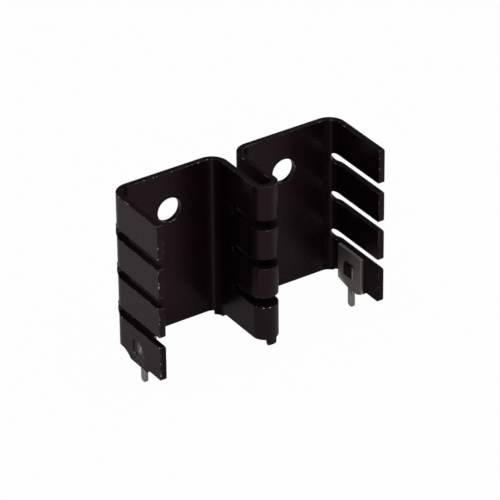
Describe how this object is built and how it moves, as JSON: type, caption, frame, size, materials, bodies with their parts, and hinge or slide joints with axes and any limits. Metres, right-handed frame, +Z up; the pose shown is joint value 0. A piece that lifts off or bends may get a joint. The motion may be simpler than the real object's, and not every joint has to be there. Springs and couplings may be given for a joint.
{
  "type": "transistor heat sink",
  "caption": "Folded and slotted sheet-metal heat sink for a pair of flat-tab transistors, with a finned centre fold and staked solder tabs for a circuit board.",
  "frame": {"origin": "on the circuit board's top face, midway between the two solder pins", "axes": "+X across the sheet to the right, -Y towards the open front where the transistors go in, +Z up from the board"},
  "size_m": [0.0384, 0.013, 0.0293],
  "materials": {
    "anodised_sheet": "black anodised, satin",
    "tinned_tab": "dull tin plate"
  },
  "bodies": {
    "root": {"sheet": "anodised_sheet", "left_tab": "tinned_tab", "right_tab": "tinned_tab"}
  },
  "joints": []
}
